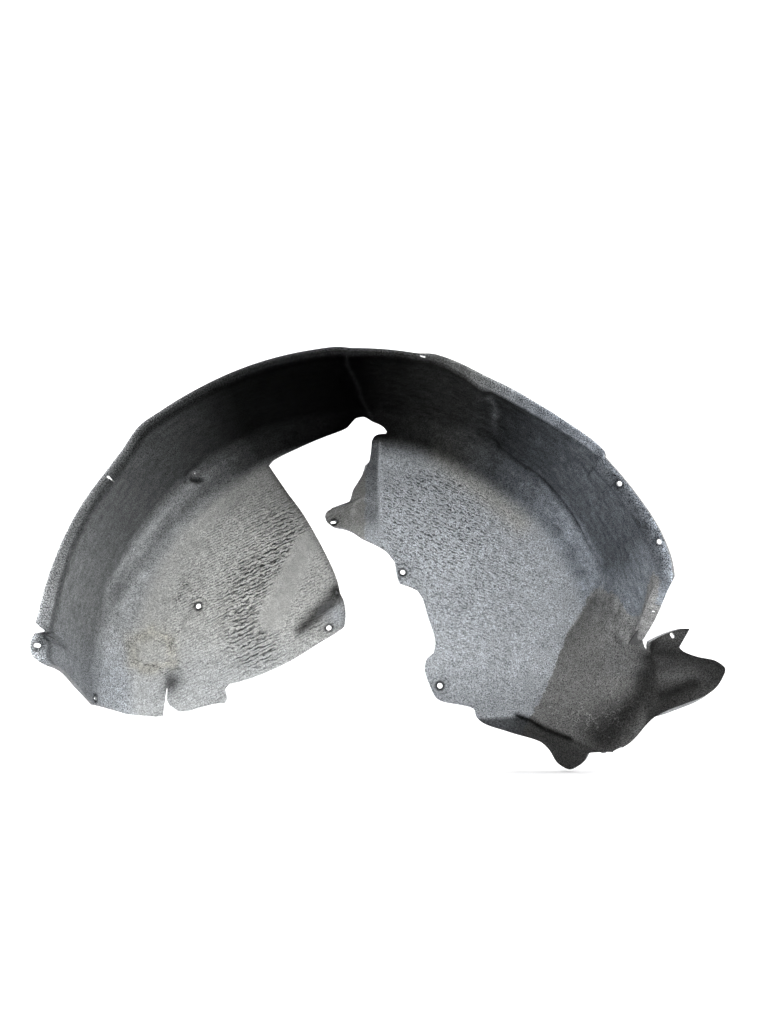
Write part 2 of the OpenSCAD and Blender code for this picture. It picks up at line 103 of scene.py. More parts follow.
rightTrim = [
    [flapFrom, 9, 330], [93.5, 6, 310], [gapTo, -1, 293], [gapEnd, -12, 277], [108, -20, 266],
    [113, -24, 252], [116, -29, 244], [118, -38, 242], [120.5, -52, 240], [123, -61, 237],
    [125, -65, 229], [127, -62, 219], [129.5, -50, 209], [132.5, -34, 204], [135, -20, 196],
    [137.5, -6, 184], [139.5, 8, 176], [flangeEnd, 31, 163], [rimStart, 37, 157], [145, 46, 145],
    [146.5, 48, 128], [148, 53, 112], [150, 67, 107], [151.5, 80, 101], [153, 88, 89], [156, 95, 62],
    [160.5, 106, 22], [162, 103, 8], [163.5, 92, -2], [165, 89, -14], [169, 96, -39], [172, 105, -57],
    [174, 113, -62], [slotFrom, 160, -73], [slotTo, 163, -84], [181.5, 174, -93], [187, 212, -105],
    [192.5, 252, -118], [194.3, 263, -129], [195.8, 273, -147], [197.3, 287, -155], [198.3, 297, -149],
    [198.8, 303, -141], [199.1, 306, -133], [200, 322, -131.5],
]
tab, tip, deep = felt["tabReach"], felt["tailReach"], felt["tailDepth"]
tailLine = [
    [slotTo, 178.1, 395, 150], [179.8, 176.7, tab - 35, 148], [180.2, 175.9, tab - 12, 146],
    [180.6, 176, tab, 145], [181, 177.8, tab - 10, 147], [181.5, 179.2, tab - 17, 148],
    [182.4, 180.8, tip - 34, deep + 10], [183.3, 181.5, tip - 12, deep + 3], [184.4, 182.9, tip, deep],
    [185.5, 184.3, tip - 5, deep], [187, 186, tip - 14, deep + 2], [188.5, 187.5, tip - 28, deep + 8],
    [190, 188.8, 443, 146], [192, 190.7, 418, 150], [194.3, 192.7, 400, 150], [195.8, 194.5, 391, 150],
    [197.3, 196.9, 382, 149], [198.6, 198.9, 373, 147], [200, 200.2, 364, 141],
]
lipFold = [[60, -130], [160, -86], [233, -82], [285, -112], [330, -134]]


# Smooth curve through a column of a table, with no overshoot
def along(table, s, column):
    t = np.array(table, float)
    x, y = t[:, 0], t[:, column]
    step = np.diff(x)
    slope = np.diff(y) / step
    knot = np.concatenate([[slope[0]], np.zeros(len(x) - 2), [slope[-1]]])
    a, b = slope[:-1], slope[1:]
    same = a * b > 0
    knot[1:-1][same] = 2 * (a * b)[same] / (a + b)[same]
    s = np.clip(s, x[0], x[-1])
    i = np.clip(np.searchsorted(x, s, "right") - 1, 0, len(x) - 2)
    h = step[i]
    u = (s - x[i]) / h
    return ((1 + 2 * u) * (1 - u) ** 2 * y[i] + u * (1 - u) ** 2 * h * knot[i]
            + u ** 2 * (3 - 2 * u) * y[i + 1] + u ** 2 * (u - 1) * h * knot[i + 1])


# Straight lines through the points of a table of two columns
def tableAt(table, x):
    t = np.array(table, float)
    return np.interp(x, t[:, 0], t[:, 1])


# A soft step from 0 at a to 1 at b
def ramp(a, b, x):
    u = np.clip((x - a) / (b - a), 0, 1)
    return u * u * (3 - 2 * u)


# A soft hump, 1 at 0 and w to each side
def bump(x, w):
    return np.exp(-x * x / (w * w))


# The same round a place in X and Z, wide or tall times as long
def spot(x, z, place, w, wide=1, tall=1):
    return bump(np.hypot((x - place[0]) / wide, (z - place[1]) / tall), w)


# x where it is above 0 and 0 below, with a bend of radius r between them
def beyond(x, r):
    return (x + np.sqrt(x * x + r * r)) / 2


def mix(a, b, u):
    return a + (b - a) * u


def polar(r, s):
    return -r * np.cos(np.radians(s)), r * np.sin(np.radians(s))


# Distance past the bend where the lower right panel starts
def pastPanelBend(x, z):
    return (x - 250) * 0.876 - (z + 70) * 0.482


# Depth of the front of the side wall at X and Z
def wallDepth(x, z):
    pastGap = x + 0.58 * z - 47
    valleySide = (x + 62 - z + 75) * 0.707
    valleyRun = (x + 62 + z - 75) * 0.707
    fold = tableAt(lipFold, x)
    return (felt["depth"]
            - felt["panelSlope"] * beyond(pastPanelBend(x, z), 10)
            + felt["lipSlope"] * beyond(fold - z, 6) * ramp(130, 165, x)
            + felt["stripSlope"] * beyond(20 - x, 5) * ramp(170, 215, z) * (1 - ramp(262, 298, z))
            * ramp(-8, 6, pastGap)
            + felt["valleyDepth"] * bump(valleySide, 9) * ramp(-42, -5, valleyRun)
            * (1 - ramp(60, 100, np.hypot(x + 40, z - 80)))
            - felt["curlHeight"] * spot(x, z, (-262, -52), 20) * ramp(-290, -270, x))


def bandLift(s, u):
    pocket = ramp(115.5, 118, s) * (1 - ramp(146, 160, s)) * ramp(0.02, 0.1, u) * (1 - ramp(0.5, 0.62, u))
    return (felt["pocketHeight"] * pocket
            - felt["ridgeHeight"] * bump(s - 115, 1.8) * bump(u - 0.4, 0.35)
            - felt["foldHeight"] * bump(s - mix(82, 92, u), 1.7) * ramp(0.05, 0.25, u))


def shoulderLift(s, u):
    return (-felt["ribHeight"] * (bump(u - 0.3, 0.07) + bump(u - 0.55, 0.07))
            * ramp(2, 12, s) * (1 - ramp(55, 62, s)))


# Where the band bends into the shoulder, and the shoulder's foot on the wall, at each sweep angle
def mainLines(s):
    bendR = felt["bandRadius"] + along(bendLine, s, 1)
    footR = felt["bandRadius"] - felt["shoulderWidth"] + along(wallLine, s, 2)
    bendY = felt["depth"] - felt["shoulderDepth"] + along(bendLine, s, 2)
    return SimpleNamespace(bendR=bendR, bendY=bendY, bend=polar(bendR, s),
                           footR=footR, foot=polar(footR, along(wallLine, s, 1)))


# Flange and band, from the outer edge to the bend. Below the slot the tail is in their place
def outerLines(s, nFlange, nBand, main):
    tail = s > (slotFrom + slotTo) / 2
    n, r, y = along(rimLine, s, 1), felt["rimRadius"] + along(rimLine, s, 2), along(rimLine, s, 3)
    broad = felt["flangeWidth"] + felt["flangeExtra"] - 4
    w = np.where(s <= flangeEnd, felt["flangeWidth"] + along(flangeLine, s, 1),
                 mix(felt["rimFlareWidth"], broad, 1 - ramp(flangeEnd, rimStart, s)))
    lean = np.where(s <= flangeEnd, 0,
                    felt["rimFlareDepth"] * ramp(flangeEnd, rimStart, s) + 12 * ramp(160, 172, s))
    kx, kz = main.bend
    tx, tz = polar(along(tailLine, s, 2), along(tailLine, s, 1))
    ty = along(tailLine, s, 3)
    lines = []
    for j in range(nFlange + nBand + 1):
        if j < nFlange:
            u = j / nFlange
            px, pz = polar(r - w * u, n)
            py = y + lean * u
        else:
            u = (j - nFlange) / nBand
            px, pz = polar(mix(r - w, main.bendR, ramp(0, 0.8, u)) + bandLift(s, u), mix(n, s, u * u))
            py = mix(y + lean, main.bendY, u)
        v = j / (nFlange + nBand)
        dip = felt["tailValley"] * bump(s - 190, 2.6) * math.sin(math.pi * min(1, v * 1.15))
        px, pz = np.where(tail, mix(tx, kx, v), px), np.where(tail, mix(tz, kz, v), pz)
        lines.append(np.stack([px, np.where(tail, mix(ty, main.bendY, v) + dip, py), pz], -1))
    return lines


# The shoulder turns round from the bend to its foot, and is cut short beside the strut gap
def shoulderLines(s, nShoulder, main):
    (kx, kz), (fx, fz) = main.bend, main.foot
    cut = np.where((s > gapFrom) & (s < gapEnd), along(gapLine, s, 1), 1)
    roundness = 1 - ramp(158, 172, s)
    footY = wallDepth(fx, fz)
    lines = []
    for j in range(1, nShoulder + 1):
        u = cut * j / nShoulder
        a = mix(u, 1 - np.cos(np.pi / 2 * u), roundness)
        b = mix(u, np.sin(np.pi / 2 * u), roundness)
        lift = shoulderLift(s, u)
        grow = 1 + lift / main.bendR
        px, pz = mix(kx, fx, a) * grow, mix(kz, fz, a) * grow
        lines.append(np.stack([px, mix(main.bendY, footY, b) + lift * b, pz], -1))
    return lines


# The wall, from the shoulder's last line or the flap's edge to the trimmed edge
def wallLines(s, nWall, main, start):
    left = s <= gapFrom
    ex, ez = (np.where(left, along(leftTrim, s, k), along(rightTrim, s, k)) for k in (1, 2))
    flap = (s > gapFrom) & (s < gapTo)
    ax = np.where(flap, along(flapLine, s, 1), start[:, 0])
    az = np.where(flap, along(flapLine, s, 2), start[:, 2])
    lines = []
    for j in range(1, nWall + 1):
        px, pz = mix(ax, ex, j / nWall), mix(az, ez, j / nWall)
        d = np.hypot(px, pz)
        onRound = (s > gapFrom) & (s < 110) & (d > main.footR)
        share = np.sqrt(np.clip(1 - ((d - main.footR) / (main.bendR - main.footR)) ** 2, 0, 1))
        flat = wallDepth(px, pz)
        lines.append(np.stack([px, np.where(onRound, mix(main.bendY, flat, share), flat), pz], -1))
    return lines


# A line of points for each sweep angle, over flange, band, shoulder and wall to the trimmed edge
def stationLines(s, rows):
    nFlange, nBand, nShoulder, nWall = rows
    main = mainLines(s)
    lines = outerLines(s, nFlange, nBand, main) + shoulderLines(s, nShoulder, main)
    return np.stack(lines + wallLines(s, nWall, main, lines[-1]), 1)


# How finely the sheet is meshed: rows across it, widest step along it, and how much finer its wheel side is
mesh = {"rows": (1, 9, 7, 20), "step": 13.0, "fine": 3}
wheelSide, carSide, cutEdge = range(3)  # material slots, in the order of the sides below
arcStep = 6.6  # mm along the band for each degree of sweep
stops = sorted(set([r[0] for t in (leftTrim, rightTrim, tailLine) for r in t]
                   + [r[0] for r in gapLine if r[0] < gapTo] + [r[0] for r in flapLine] + [slotFrom]
                   + list(range(28, 63, 5)) + [98, 100]))


def meshStations():
    probe = stationLines(np.array(stops, float), mesh["rows"])
    span = np.linalg.norm(np.diff(probe[:, :sum(mesh["rows"][:3])], axis=0), axis=2).max(1)
    out = []
    for a, b, d in zip(stops[:-1], stops[1:], span):
        n = max(1, math.ceil(d / mesh["step"])) * mesh["fine"]
        out += [mix(a, b, k / n) for k in range(n)]
    return np.array(out + [stops[-1]])


# True for each cell of the sheet that exists: none in the strut gap, the notch and the slot above the tail
def cellMask(s, rows):
    m = (s[:-1] + s[1:]) / 2
    wallStart, bend = sum(rows[:3]), sum(rows[:2])
    j = np.arange(sum(rows))
    mask = np.ones((len(m), len(j)), bool)
    mask &= ~(((m > gapFrom) & (m < flapFrom))[:, None] & (j >= wallStart)[None])
    mask &= ~(((m > gapFrom) & (m < gapTo))[:, None] & (j == wallStart)[None])
    mask &= ~(((m > slotFrom) & (m < slotTo))[:, None] & (j < bend)[None])
    return mask


# Directions away from the wheel, square to the sheet, at every point of a grid
def awayFrom(points, mask):
    pad = np.pad(mask, 1)
    ahead = pad[1:, 1:] | pad[1:, :-1]
    behind = pad[:-1, 1:] | pad[:-1, :-1]
    inner = pad[1:, 1:] | pad[:-1, 1:]
    outer = pad[1:, :-1] | pad[:-1, :-1]

    def step(ok, shift, axis):
        return np.where(ok[..., None], np.roll(points, shift, axis), points)

    n = np.cross(step(ahead, -1, 0) - step(behind, 1, 0), step(inner, -1, 1) - step(outer, 1, 1))
    size = np.linalg.norm(n, axis=2, keepdims=True)
    return np.where(size > 1e-9, n / np.maximum(size, 1e-9), [0, 1, 0])


# Pressed forms that both sides of the sheet follow: the cup on the left shoulder
cup = {"at": (-259.3, 205, 274.3), "way": (-0.64, 0.45, 0.62), "mouth": 13, "floor": 6, "depth": 8}


def pressedForms(points):
    way = np.array(cup["way"]) / np.linalg.norm(cup["way"])
    rel = points - np.array(cup["at"])
    d = np.linalg.norm(rel - (rel @ way)[..., None] * way, axis=-1)
    near = np.linalg.norm(rel, axis=-1) < 60
    return points + (cup["depth"] * (1 - ramp(cup["floor"], cup["mouth"], d)) * near)[..., None] * way


# Seeded cloudy noise in 2D, for relief that is real geometry
cloudCells = 97
clouds = np.random.default_rng(11).random((cloudCells, cloudCells))


def cloud(x, z):
    i, k = np.floor(x).astype(int), np.floor(z).astype(int)
    u, v = x - i, z - k
    u, v = u * u * (3 - 2 * u), v * v * (3 - 2 * v)
    c = [clouds[(i + a) % cloudCells, (k + b) % cloudCells] for a, b in ((0, 0), (1, 0), (0, 1), (1, 1))]
    return mix(mix(c[0], c[1], u), mix(c[2], c[3], u), v)


# Distance from a chain of X and Z points, and the share of the way along it
def chain(x, z, points):
    best, way = np.full(np.shape(x), 1e9), np.zeros(np.shape(x))
    n = len(points) - 1
    for i in range(n):
        (ax, az), (bx, bz) = points[i], points[i + 1]
        t = np.clip(((x - ax) * (bx - ax) + (z - az) * (bz - az)) / ((bx - ax) ** 2 + (bz - az) ** 2), 0, 1)
        d = np.hypot(x - ax - t * (bx - ax), z - az - t * (bz - az))
        way = np.where(d < best, (i + t) / n, way)
        best = np.minimum(best, d)
    return best, way


def sweepOf(x, z):
    s = np.degrees(np.arctan2(z, -x))
    return np.where(s < -90, s + 360, s)


# Pressed round seats of the clip holes in the walls, in mm from their middles
seats = {"places": [(-53, 44), (-249, 76), (58, 129), (111, -40)], "depth": 1.2, "wall": (7.2, 8.8),
         "calm": (8, 14), "lip": 10.5, "lipWidth": 1.6, "lipHeight": 0.7}
fingerHole = (-50, 217)

# Creases: chain of X and Z, lowest depth, half width, height towards the wheel
creases = [
    ([(24, 346), (22, 311), (20, 278), (22, 245), (25, 221)], 215, 2.6, 1.6),
    ([(-19, 225), (-18, 241), (-10, 249), (3, 248), (12, 238)], 215, 2.2, 1.2),
    ([(388, 16), (396, -1), (398, -21), (393, -40), (386, -55), (375, -72), (358, -96), (341, -117)],
     100, 4, 2.5),
    ([(-42, 100), (-54, 83), (-69, 69), (-83, 53), (-95, 41)], 215, 6, -3.0),
    ([(-47, 108), (-42, 100), (-34, 92)], 215, 3, -3.0),
    ([(225, -82), (240, -88), (258, -101), (283, -113)], 150, 4, -3.5),
    ([(-339, -60), (-341, -40), (-343, -20)], 150, 3, 1.0),
]

# The pocket's far edge and its ridge: sweep angle and depth
joggle = [(121, 180), (123, 197), (128.7, 202), (134.4, 198), (141.2, 199), (147, 205), (153, 212),
          (158, 207), (162.4, 197)]
pocketRidge = [(116.5, 20), (118, 60), (119.3, 100), (120, 140), (121.2, 182)]

# The walls' fine texture in mm and degrees: height is of the real relief, depth of the grooves, and dark is
# the painted shade in the grooves
wrinkles = {"height": 1.6, "length": 8.5, "pitch": 6.2, "rise": 25, "sway": 9, "wander": 4.6,
            "gaps": (0.34, 0.46), "depth": 2.8, "dark": 0.7}
ripples = {"length": 5.0, "pitch": 4.0, "rise": 28, "sway": 5, "wander": 4.0,
           "gaps": (0.38, 0.52), "depth": 2.2, "dark": 0.72}
crepe = {"height": 0.8, "length": 5.5, "pitch": 4.4, "rise": -28, "sway": 7, "wander": 6.0,
         "gaps": (0.42, 0.54), "depth": 1.6, "dark": 0.8}
swell = {"height": 1.2, "bandHeight": 1.6}
wrinkleFold = [(-112, 172), (-160, 136), (-186, 92), (-182, 58), (-168, 18)]
smoothPatch = [(-90, 172), (-112, 120), (-138, 58)]


def wrinkleZone(x, z):
    fold, way = chain(x, z, wrinkleFold)
    zone = 1.25 * bump(fold, mix(24, 32, way)) + spot(x, z, (-130, 210), 28, wide=1.3)
    zone += 0.7 * spot(x, z, (-150, 6), 20) + 0.5 * spot(x, z, (-75, 48), 20)
    return np.clip(zone * ramp(16, 24, chain(x, z, smoothPatch)[0]), 0, 1) * (x < -20)


def rippleZone(x, z):
    zone = 0.38 + 0.75 * spot(x, z, (-165, 135), 75, tall=1.4) + 0.5 * spot(x, z, (-262, 90), 24)
    zone = np.clip(zone * ramp(14, 24, chain(x, z, smoothPatch)[0]), 0, 1)
    return zone * (x < -20) * (1 - ramp(300, 330, np.hypot(x, z)))


def crepeZone(x, z):
    zone = 1.1 * spot(x, z, (100, 235), 70, wide=1.2) + 0.55 * spot(x, z, (160, 130), 130) + 0.15
    return np.clip(zone, 0, 1) * (x > 26) * (1 - ramp(305, 335, np.hypot(x, z)))


# Folds, crepe and the soft swell of the side walls
def fineRelief(x, z):
    c, s = math.cos(math.radians(wrinkles["rise"])), math.sin(math.radians(wrinkles["rise"]))
    warp = 9 * cloud(x / 24, z / 24) + 4 * cloud(x / 9 + 40, z / 9)
    fold = np.sin(2 * math.pi * (z * c - x * s + warp) / (2 * wrinkles["pitch"])) / 2 + 0.5
    fold = fold * ramp(0.3, 0.6, cloud((x * c + z * s) / 14 + 7, (z * c - x * s) / 8 + 3))
    rough = cloud(x / crepe["pitch"] + 31, z / crepe["pitch"] + 17) + 0.6 * cloud(x / 2.6 + 5, z / 2.6 + 61)
    soft = cloud(x / 24 + 11, z / 24 + 43) + 0.5 * cloud(x / 11, z / 11)
    return (wrinkles["height"] * (fold - 0.5) * wrinkleZone(x, z)
            + crepe["height"] * (rough - 0.8) * crepeZone(x, z) + swell["height"] * (soft - 0.75))


# Creases, the swell of the band, and the pocket's joggle and ridge
def relief(points):
    x, y, z = points[..., 0], points[..., 1], points[..., 2]
    h = np.zeros(x.shape)
    for places, lowest, half, height in creases:
        d, way = chain(x, z, places)
        h = h + (height * bump(d, half) * ramp(lowest - 15, lowest + 10, y)
                 * ramp(0, 0.12, way) * (1 - ramp(0.88, 1, way)))
    r, s = np.hypot(x, z), sweepOf(x, z)
    onBand = ramp(345, 362, r) * ramp(8, 20, y) * (s < 178)
    h = h + onBand * swell["bandHeight"] * (cloud(s / 5 + 3, y / 42 + 8) - 0.5)
    for marks, half, height in ((joggle, 3.2, -2.4), (pocketRidge, 4, 1.5)):
        d, way = chain(s * arcStep, y, [(a * arcStep, b) for a, b in marks])
        h = h + onBand * height * bump(d, half) * ramp(0, 0.1, way) * (1 - ramp(0.7, 1, way))
    return h


def seatRelief(x, z, h):
    for a, b in seats["places"]:
        d = np.hypot(x - a, z - b)
        h = (h * ramp(*seats["calm"], d) - seats["depth"] * (1 - ramp(*seats["wall"], d))
             + seats["lipHeight"] * bump(d - seats["lip"], seats["lipWidth"]))
    return h


# The felt's three faces: the dirty wheel side, which also carries painted shade, the cleaner car side and the
# pale cut edge
sides = {
    "wheelSide": {"painted": True, "grain": 1.0, "relief": 0.9},
    "carSide": {"painted": False, "grain": 0.3, "relief": 0.6, "tone": 0.13},
    "cutEdge": {"painted": False, "grain": 0.45, "relief": 0.8, "tone": 0.3},
}


# The sheet: a fine wheel side, a plain car side one thickness behind it, and cut edges between them
def buildSheet():
    k = mesh["fine"]
    rows = tuple(n * k for n in mesh["rows"])
    s = meshStations()
    front = pressedForms(stationLines(s, rows))
    coarse = cellMask(s[::k], mesh["rows"])
    mask = np.repeat(np.repeat(coarse, k, 0), k, 1)
    away = awayFrom(front, mask)
    back = (front + felt["thickness"] * away)[::k, ::k]
    front = front - away * relief(front)[..., None]
    nj, mj = front.shape[1], back.shape[1]
    points = np.concatenate([front.reshape(-1, 3), back.reshape(-1, 3)]) * mm
    base = front.shape[0] * nj

    def f(i, j):
        return i * nj + j

    def b(i, j):
        return base + i * mj + j

    i, j = np.nonzero(mask)
    faces = np.stack([f(i, j), f(i, j + 1), f(i + 1, j + 1), f(i + 1, j)], 1).tolist()
    kinds = [wheelSide] * len(faces)
    i, j = np.nonzero(coarse)
    faces += np.stack([b(i, j), b(i + 1, j), b(i + 1, j + 1), b(i, j + 1)], 1).tolist()
    kinds += [carSide] * (len(faces) - len(kinds))
    pad = np.pad(coarse, 1)
    for i, j in zip(*np.nonzero(coarse)):
        corners = [(i, j), (i + 1, j), (i + 1, j + 1), (i, j + 1)]
        open4 = [pad[i + 1, j], pad[i + 2, j + 1], pad[i + 1, j + 2], pad[i, j + 1]]
        for q, there in enumerate(open4):
            if not there:
                (i0, j0), (i1, j1) = corners[q], corners[(q + 1) % 4]
                edge = [f(i0 * k + (i1 - i0) * m, j0 * k + (j1 - j0) * m) for m in range(k + 1)]
                faces.append(edge + [b(i1, j1), b(i0, j0)])
    kinds += [cutEdge] * (len(faces) - len(kinds))
    used = np.unique(np.concatenate([np.array(q) for q in faces]))
    new = np.full(len(points), -1)
    new[used] = np.arange(len(used))
    sheetMesh = bpy.data.meshes.new("feltLiner")
    sheetMesh.from_pydata(points[used].tolist(), [], [[int(new[v]) for v in q] for q in faces])
    for name in sides:
        sheetMesh.materials.append(bpy.data.materials.new(name))
    sheetMesh.polygons.foreach_set("material_index", kinds)
    print("felt sheet:", len(s), "stations,", len(sheetMesh.polygons), "faces")
    return sheetMesh


# Holes through the sheet: place, direction, half width, stretch and turn, in mm and degrees
holes = {
    "rimUpper": ((325, 7, 196), (0.657, 0.656, 0.372), 3.5, 0, 0),
    "rimLower": ((368, 7, 120), (0.657, 0.656, 0.372), 3.5, 0, 0),
    "finger": ((fingerHole[0], 261, fingerHole[1]), (-0.4, 1, 0), 2.5, 3, 20),
    "lobe": ((-381, 0, -10), (0, 1, 0), 2.5, 5, 12),
    "corner": ((-374, 194, -60), (-0.96, 0.2, -0.2), 2.5, 4, 90),
    "crownTear": ((77, 0, 371), (0, 1, 0), 1.25, 6, 20),
    "leftTear": ((-320, 0, 199), (0, 1, 0), 1.5, 3, 30),
    "rimFoot": ((377, 77, 42.5), (0.45, 0.26, 0.85), 2.5, 3, 90),
    "tab": ((428.5, 149, 23), (0, 1, 0), 2.5, 3, 60),
    "needle": (cup["at"], cup["way"], 1.5, 0, 0),
}
clipHoles = [((a, 232, b), (0, 1, 0), 4, 0, 0) for a, b in seats["places"]]
slit = {"foot": (-286, -82), "length": 38, "width": 12}
cutter = {"corners": 28, "reach": 16, "slitReach": 32}


def prism(outline, low, high):
    n = len(outline)
    verts = [(x, y, low) for x, y in outline] + [(x, y, high) for x, y in outline]
    faces = [list(range(n))[::-1], list(range(n, 2 * n))]
    faces += [[i, (i + 1) % n, n + (i + 1) % n, n + i] for i in range(n)]
    m = bpy.data.meshes.new("cutter")
    m.from_pydata(verts, [], faces)
    return m


def holeCutter(place, way, half, stretch, turn):
    outline = []
    for i in range(cutter["corners"]):
        a = 2 * math.pi * (i + 0.5) / cutter["corners"]
        outline.append((half * math.cos(a) + math.copysign(stretch / 2, math.cos(a)), half * math.sin(a)))
    m = prism(outline, -cutter["reach"], cutter["reach"])
    spin = Vector((0, 0, 1)).rotation_difference(Vector(way)).to_matrix()
    c, s = math.cos(math.radians(turn)), math.sin(math.radians(turn))
    for v in m.vertices:
        x, y, z = v.co
        v.co = (spin @ Vector((x * c - y * s, x * s + y * c, z)) + Vector(place)) * mm
    return m


def slitCutter():
    w, n = slit["width"], slit["length"]
    outline = [(-1, 0), (1, 0), (w * 0.15, -n * 0.45), (w * 0.5, -n * 0.63), (w * 1.6, -n * 0.85),
               (w * 1.6, -n - cutter["reach"]), (-w * 0.3, -n - cutter["reach"]), (-w * 0.2, -n * 0.6)]
    m = prism(outline[::-1], -cutter["slitReach"], cutter["slitReach"])
    for v in m.vertices:
        v.co = Vector((v.co.x + slit["foot"][0], felt["depth"] - v.co.z, v.co.y + slit["foot"][1] + n)) * mm
    return m


def cutHoles(sheetMesh):
    target = bpy.data.objects.new("feltLiner", sheetMesh)
    scene.collection.objects.link(target)
    tools = []
    for m in [holeCutter(*h) for h in clipHoles + list(holes.values())] + [slitCutter()]:
        for mat in sheetMesh.materials:
            m.materials.append(mat)
        m.polygons.foreach_set("material_index", [cutEdge] * len(m.polygons))
        tool = bpy.data.objects.new("holeTool", m)
        scene.collection.objects.link(tool)
        tools.append(tool)
        mod = target.modifiers.new("cut", "BOOLEAN")
        mod.operation, mod.solver, mod.object = "DIFFERENCE", "MANIFOLD", tool
    bpy.context.view_layer.update()
    done = bpy.data.meshes.new_from_object(target.evaluated_get(bpy.context.evaluated_depsgraph_get()))
    target.modifiers.clear()
    target.data = done
    for tool in tools:
        bpy.data.objects.remove(tool)
    print("holes cut:", len(sheetMesh.polygons), "faces became", len(done.polygons))
    return target


# Cuts the wanted faces of the wheel side in four
def makeFiner(bm, wanted):
    faces = [f for f in bm.faces if f.material_index == wheelSide and len(f.verts) == 4
             and wanted(*(f.calc_center_median() / mm))]
    edges = list(dict.fromkeys(e for f in faces for e in f.edges))
    bmesh.ops.subdivide_edges(bm, edges=edges, cuts=1, use_grid_fill=True)
    return len(faces)


def wallBusy(x, y, z):
    x, z = np.array(x), np.array(z)
    return y > 200 and (wrinkleZone(x, z) > 0.3 or crepeZone(x, z) > 0.45)


def nearSeat(x, y, z):
    places = [(a, 230, b) for a, b in seats["places"]] + [cup["at"], (fingerHole[0], 240, fingerHole[1])]
    return any(math.dist((x, y, z), q) < 17 for q in places)


# The side walls get a finer mesh where they wrinkle, and then the wrinkles, crepe and seats themselves
def wrinkleWalls(obj):
    bm = bmesh.new()
    bm.from_mesh(obj.data)
    count = makeFiner(bm, wallBusy) + makeFiner(bm, nearSeat)
    front = {v for f in bm.faces if f.material_index == wheelSide for v in f.verts}
    edge = {v for f in bm.faces if f.material_index != wheelSide for v in f.verts}
    verts = list(front - edge)
    p = np.array([v.co for v in verts]) / mm
    n = np.array([v.normal for v in verts])
    x, z = p[:, 0], p[:, 2]
    p[:, 1] -= seatRelief(x, z, fineRelief(x, z)) * ramp(205, 226, p[:, 1]) * ramp(0.2, 0.8, -n[:, 1])
    for v, q in zip(verts, p * mm):
        v.co = q
    bm.to_mesh(obj.data)
    bm.free()
    print("walls wrinkled:", count, "faces made finer")


liner = cutHoles(buildSheet())
wrinkleWalls(liner)
liner.data.shade_smooth()
liner.data.set_sharp_from_angle(angle=math.radians(50))
liner.data.calc_loop_triangles()
print("triangles:", len(liner.data.loop_triangles))

# Shares of light that the felt gives back, painted on the mesh. Tables start with the sweep angle, or with Y
paint = {
    # The band and flange tables are the felt's colour with painted shade in it: they fall to near black
    # towards the crown, where the band faces down
    "band": [
        [-10, 0.3], [0, 0.29], [10, 0.27], [20, 0.225], [27, 0.165], [35, 0.12], [43, 0.075], [52, 0.036],
        [58, 0.012], [62, 0.005], [80, 0.002], [86, 0.001], [89, 0.0012], [92, 0.0035], [98, 0.008],
        [106, 0.018], [115, 0.028], [122, 0.026], [132, 0.068], [142, 0.14], [150, 0.165], [160, 0.14],
        [170, 0.27], [180, 0.16],
    ],
    "flange": [
        [-10, 0.3], [8, 0.24], [20, 0.12], [36, 0.07], [44, 0.03], [62, 0.012], [80, 0.008], [98, 0.016],
        [106, 0.06], [115, 0.13], [140, 0.17], [146, 0.1], [156, 0.15], [163, 0.24], [168, 0.34], [175, 0.55],
    ],
    "bandInShoulder": [[0, 0.2], [45, 0.3], [70, 0.8], [105, 0.93], [125, 0.5], [150, 0.3]],
    "foldAt": [[30, 86], [101, 88], [157, 89], [212, 91]],
    # Of these, flare is painted light; lip, the line along the lip's fold, strip, recess, curl, notch and
    # valley are painted shade; panel is the brown panel's dirt with painted shade in it
    "leftWall": 0.6, "rightWall": 0.57, "flareLight": 0.4, "tail": 0.042, "tab": 0.06, "shelf": 0.2,
    "panel": (0.16, 0.22), "panelFoot": 0.03, "lip": (0.085, 0.05), "lipFoldShade": 0.008,
    "strip": (0.23, 0.13), "recess": 0.06, "curl": 0.05, "notch": 0.015, "valley": 0.055,
}

# Painted light and shade along the ribs of the left shoulder: radius by sweep angle, half width and strength
ribLightAndShade = [
    ([[10, 387], [18, 382], [30, 376], [45, 374]], 3.2, 0.42),
    ([[8, 378], [15, 372], [27, 361], [35, 359], [50, 357]], 6.5, -0.36),
    ([[10, 362], [18, 357], [30, 334], [40, 330], [50, 328]], 4, 0.16),
]

# Marks on the tail: chain of X and Z, half width, share of light, strength
tailMarks = [
    ([(385, 4), (427, -2), (478, -13)], 8, 0.022, 0.8),
    ([(395, -33), (421, -34), (452, -27)], 9, 0.08, 0.75),
    ([(405, -58), (425, -52), (446, -43)], 8, 0.016, 0.9),
    ([(384, -74), (430, -66), (470, -52)], 6, 0.062, 0.6),
    ([(462, 2), (480, -18), (487, -30)], 12, 0.02, 0.75),
    ([(454, -22), (472, -31)], 10, 0.028, 0.6),
    # The last mark is painted shade along the crease where the wall turns into the tail
    ([(397, 22), (402, 14), (396, -1), (398, -21), (393, -40), (386, -55), (375, -72), (358, -96)],
     3.5, 0.015, 0.8),
]

